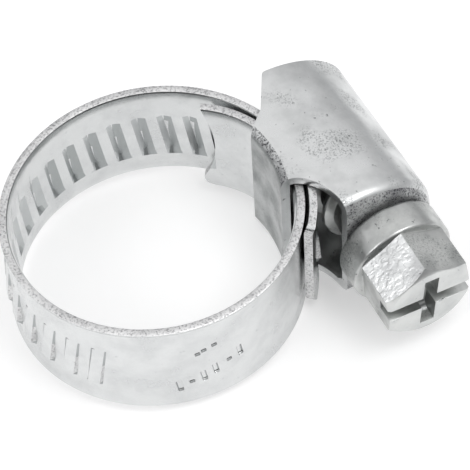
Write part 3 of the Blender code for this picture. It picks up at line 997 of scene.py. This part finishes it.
@dataclass
class Housing:
    """The housing, folded from one sheet: a saddle inside the strip, two cheeks and a barrel over the screw.

    Attributes:
        centre: The ring's centre.
        sheet: Thickness of the sheet.
        fold: Outer radius of the folds along the saddle.
        saddle_radius: Radius of the saddle's curve.
        saddle: Where the saddle starts and ends, and how far out its curve is made.
        saddle_x: The saddle's inner face, from the ring's centre.
        shoulder_x: Where the barrel's round starts, from the ring's centre.
        front_fold: Radius of the fold at the front.
        arch: Height of the arch that the strip leaves by.
        fullness: Power of the barrel's curve at its front and back; 2 is an ellipse, and more is squarer.
        back_step: How far the back edge slants within the height of the saddle's sheet.
        neck_hole: Radius of the hole for the screw's neck.
    """

    centre: Vector
    sheet: float = 0.0007
    fold: float = 0.0008
    saddle_radius: float = 0.0105
    saddle: Point = (-0.0028, 0.0022, 0.0040)
    saddle_x: float = 0.008775
    shoulder_x: float = 0.011825
    front_fold: float = 0.0010
    arch: float = 0.0026
    fullness: Pair = (2.5, 1.95)
    back_step: float = 0.0013
    neck_hole: float = 0.0024

    def __post_init__(self) -> None:
        """Take the outer sizes from the frame."""
        low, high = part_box("housing")
        self.half = (high.z - low.z) / 2
        self.crown = high.x - self.centre.x
        self.front, self.back = low.y - self.centre.y, high.y - self.centre.y

    def dip(self, y: float) -> float:
        """How far the saddle's curve has dropped towards the hose at y."""
        reach = min(abs(y), self.saddle[2])
        return self.saddle_radius - math.sqrt(self.saddle_radius**2 - reach**2)

    def section(self, inset: float, y: float) -> list[Pair]:
        """(x, z) outline across the housing at y, set in from its outside."""
        half = self.half - inset
        foot = self.saddle_x - self.dip(y) + inset
        fold = max(self.fold - inset, 0.0001)
        lower = arc((foot + fold, half - fold), (fold, fold), (180, 90), 6)
        share = min(max((y - self.front) / (self.back - self.front), 0.0), 1.0)
        power = 2 / (self.fullness[0] + (self.fullness[1] - self.fullness[0]) * share)
        height = self.crown - inset - self.shoulder_x
        quarter = arc((0.0, 0.0), (1.0, 1.0), (90, 0), 28)
        upper = [(self.shoulder_x + height * abs(u) ** power, half * abs(v) ** power) for u, v in quarter]
        flat = [(foot, half * share) for share in (0.0, 0.3, 0.6)]
        cheek = [(foot + fold + (self.shoulder_x - foot - fold) * share, half) for share in (0.33, 0.66)]
        outline = flat + lower + cheek + upper
        return outline + [(x, -z) for x, z in reversed(outline[1:-1])]

    def shell(self, name: str, inset: float, stations: Sequence[Pair]) -> Piece:
        """Solid of the section along Y; each station is (y, extra inset)."""
        c = self.centre
        return tube(name, [[(c.x + x, c.y + y, c.z + z) for x, z in self.section(inset + more, y)]
                           for y, more in stations])

    def prism(self, name: str, outline: Sequence[Pair]) -> Piece:
        """Upright prism over an (x, y) outline, taller than the housing."""
        c = self.centre
        reach = self.half * 1.5
        return tube(name, [[(c.x + x, c.y + y, c.z + z) for x, y in outline] for z in (-reach, reach)])

    def arch_outline(self) -> list[Pair]:
        """Outline of the arch on the screw head's side."""
        low, outside = self.saddle_x - PAST, self.front - PAST
        start = self.saddle[0]
        curve = arc((self.saddle_x, self.front), (self.arch, start - self.front), (90, 0), 28)
        return [(low, start), *curve, (self.saddle_x + self.arch, outside), (low, outside)]

    def back_outline(self) -> list[Pair]:
        """Outline of what is cut away behind the slanted back edge."""
        far, start = self.back + 2 * PAST, self.saddle[1]
        corner = arc((self.shoulder_x + 0.0002, self.back - 0.0004), (0.0004, 0.0004), (150, 90), 8)
        return [(self.saddle_x - PAST, start - PAST), (self.saddle_x, start),
                (self.saddle_x + 2 * self.sheet, start + self.back_step), *corner,
                (self.crown + PAST, self.back), (self.crown + PAST, far), (self.saddle_x - PAST, far)]

    def build(self, screw_axis: Vector) -> Piece:
        """Fold, pierce and finish the housing."""
        radius = self.front_fold
        bend = arc((self.front + radius, radius), (radius, radius), (180, 270), 8)
        saddle = [(self.saddle[2] * (i / 10 - 1), 0.0) for i in range(21)]
        body = self.shell("housing_shell", 0.0, [*bend, *saddle, (self.back + 0.001, 0.0)])
        hollow = [(self.front + self.sheet, 0.0005), (self.front + self.sheet + 0.0005, 0.0), *saddle,
                  (self.back + PAST, 0.0)]
        work(body, self.shell("hollow", self.sheet, hollow), Cut.AWAY)
        y = self.centre.y + self.front
        hole = [(y - PAST, self.neck_hole), (y + PAST, self.neck_hole)]
        work(body, turned("neck_hole", hole, screw_axis, 64), Cut.AWAY)
        work(body, self.prism("back", self.back_outline()), Cut.AWAY)
        work(body, self.prism("arch", self.arch_outline()), Cut.AWAY)
        bevel(body, 0.00013, 3, 40)
        self.finish(body)
        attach(body, "housing_body")
        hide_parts("housing")
        return body

    def finish(self, body: Piece) -> None:
        """Cracked plate along the saddle's folds and the front lip, rough plate darkened as painted shade on
        the saddle's face towards the hose, clean plate elsewhere.
        """
        foot, front = self.centre.x + self.saddle_x, self.centre.y + self.front
        half = self.half - self.fold

        def choose(middle: Vector, normal: Vector) -> int:
            """Slot of the face's finish."""
            in_fold = abs(middle.z - self.centre.z) > half and middle.x < foot + self.sheet
            on_lip = middle.y < front + 0.0003 and abs(normal.y) > 0.6
            # The saddle's face towards the hose: rough plate, painted darker as shade.
            if normal.x < -0.9 and middle.x < foot + 0.0002:
                return 2
            return int((in_fold and abs(normal.z) > 0.25 and normal.x < -0.25) or on_lip)

        dress(body, (FOLDED_SHEET, CRACKED_FOLD, ROUGH_SADDLE_IN_PAINTED_SHADE), choose)
        shade(body, 30)


# ---- Studio


@dataclass
class Studio:
    """Pale floor, soft light and the camera.

    Attributes:
        target: The ring's centre.
        distance: From the target to the camera.
        azimuth: Direction of the camera round the clamp, in degrees.
        elevation: Its height above the horizon, in degrees.
        roll: Its roll, in degrees.
        lens: Its focal length, in millimetres on a 36 mm sensor.
        offset: How far it stands to its right and above the line to the target.
        grey: The floor's grey.
        glow: How strongly the floor shines by itself.
        lamps: Name, place from the target, side and power in watts of each lamp.
    """

    target: Vector
    distance: float = 0.19021
    azimuth: float = 24.4
    elevation: float = 55.13
    roll: float = -3.772
    lens: float = 206.79
    offset: Pair = (0.005395, 0.000788)
    grey: float = 0.72
    glow: float = 0.34
    lamps: tuple[tuple[str, Point, float, float], ...] = (
        ("overhead", (0.15, -0.19, 0.58), 0.26, 1.0), ("left", (-0.46, -0.10, 0.40), 0.26, 0.75))

    def camera(self) -> None:
        """Make the camera and give it to the scene."""
        lift, twist = math.radians(self.elevation), math.radians(self.roll)
        right, up = Vector((1, 0, 0)), Vector((0, math.sin(lift), math.cos(lift)))
        back = Vector((0, -math.cos(lift), math.sin(lift)))
        cos, sin = math.cos(twist), math.sin(twist)
        axes = (cos * right + sin * up, cos * up - sin * right, back)
        turn = Matrix.Rotation(-math.radians(self.azimuth), 3, "Z") @ Matrix(axes).transposed()
        data = bpy.data.cameras.new("camera")
        data.lens, data.sensor_width = self.lens, 36.0
        data.clip_start, data.clip_end = 0.01, 10.0
        camera = bpy.data.objects.new("camera", data)
        place = self.target + turn @ Vector((*self.offset, self.distance))
        camera.matrix_world = Matrix.Translation(place) @ turn.to_4x4()
        bpy.context.scene.collection.objects.link(camera)
        bpy.context.scene.camera = camera

    def floor(self) -> None:
        """Pale matt light table under the clamp, which keeps its shadows soft."""
        low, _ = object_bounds()
        deselect()
        bpy.ops.mesh.primitive_plane_add(size=4.0, location=(0, 0, low.z - 0.00002))
        floor = named("floor")
        material = bpy.data.materials.new("pale floor")
        material.use_nodes = True
        shader = material.node_tree.nodes["Principled BSDF"]
        shader.inputs["Base Color"].default_value = (*[self.grey] * 3, 1.0)
        shader.inputs["Roughness"].default_value = 0.7
        shader.inputs["Emission Color"].default_value = (1.0, 1.0, 1.0, 1.0)
        shader.inputs["Emission Strength"].default_value = self.glow
        floor.data.materials.append(material)
        floor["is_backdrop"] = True

    def lamp(self, name: str, place: Point, size: float, power: float) -> None:
        """Soft square lamp that faces the clamp; its place is from the target, its power in watts."""
        data = bpy.data.lights.new(name, "AREA")
        data.shape, data.size, data.energy = "SQUARE", size, power
        lamp = bpy.data.objects.new(name, data)
        lamp.location = self.target + Vector(place)
        lamp.rotation_mode = "QUATERNION"
        lamp.rotation_quaternion = Vector(place).to_track_quat("Z", "Y")
        bpy.context.scene.collection.objects.link(lamp)

    def world(self) -> None:
        """Studio that is bright overhead, grey towards the horizon and dark behind the camera."""
        world = bpy.data.worlds.new("studio")
        world.use_nodes = True
        tree = Tree(world.node_tree)
        where = tree.add("ShaderNodeTexCoord").outputs["Generated"]
        height = tree.add("ShaderNodeSeparateXYZ", in_Vector=where).outputs["Z"]
        ramp = tree.add("ShaderNodeValToRGB", in_Fac=height)
        stops = ramp.color_ramp.elements
        stops[0].position, stops[0].color = 0.0, (0.36, 0.37, 0.38, 1)
        stops[1].position, stops[1].color = 1.0, (1.0, 1.0, 1.0, 1)
        for place, shade_of_grey in ((0.3, 0.58), (0.62, 0.88)):
            stops.new(place).color = (shade_of_grey, shade_of_grey, shade_of_grey * 1.01, 1)
        tree.feed(world.node_tree.nodes["Background"].inputs["Color"], ramp.outputs["Color"])
        front = tree.add("ShaderNodeVectorMath", operation="DOT_PRODUCT")
        tree.feed(front.inputs[0], where)
        front.inputs[1].default_value = (-0.41, -0.91, 0.0)
        screened = tree.ramp(front.outputs["Value"], 0.15, 0.75)
        screened = tree.times(screened, tree.minus(1.0, tree.ramp(height, 0.4, 0.7)))
        strength = tree.minus(1.0, tree.times(screened, 0.9))
        tree.feed(world.node_tree.nodes["Background"].inputs["Strength"], strength)
        bpy.context.scene.world = world

    def build(self) -> None:
        """Set everything up."""
        self.camera()
        self.floor()
        self.world()
        for lamp in self.lamps:
            self.lamp(*lamp)
        bpy.context.scene.view_settings.view_transform = "Standard"


# ---- All together


def main() -> None:
    """Build the clamp's three parts and the studio."""
    logging.basicConfig(level=logging.INFO, format="%(name)s: %(message)s")
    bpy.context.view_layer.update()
    path = StripPath()
    strip = Strip(path)
    screw = Screw()
    pieces = strip.build()
    gap = strip.hinges[-1] + 2 * strip.pitch
    pieces.append(screw.build(path.point(gap).y))
    pieces.append(Housing(path.centre).build(screw.axis))
    for piece in pieces:
        LOG.info("%s: %d faces", piece.name, len(piece.data.polygons))
    Studio(path.centre).build()
    deselect()


if __name__ == "__main__":
    main()
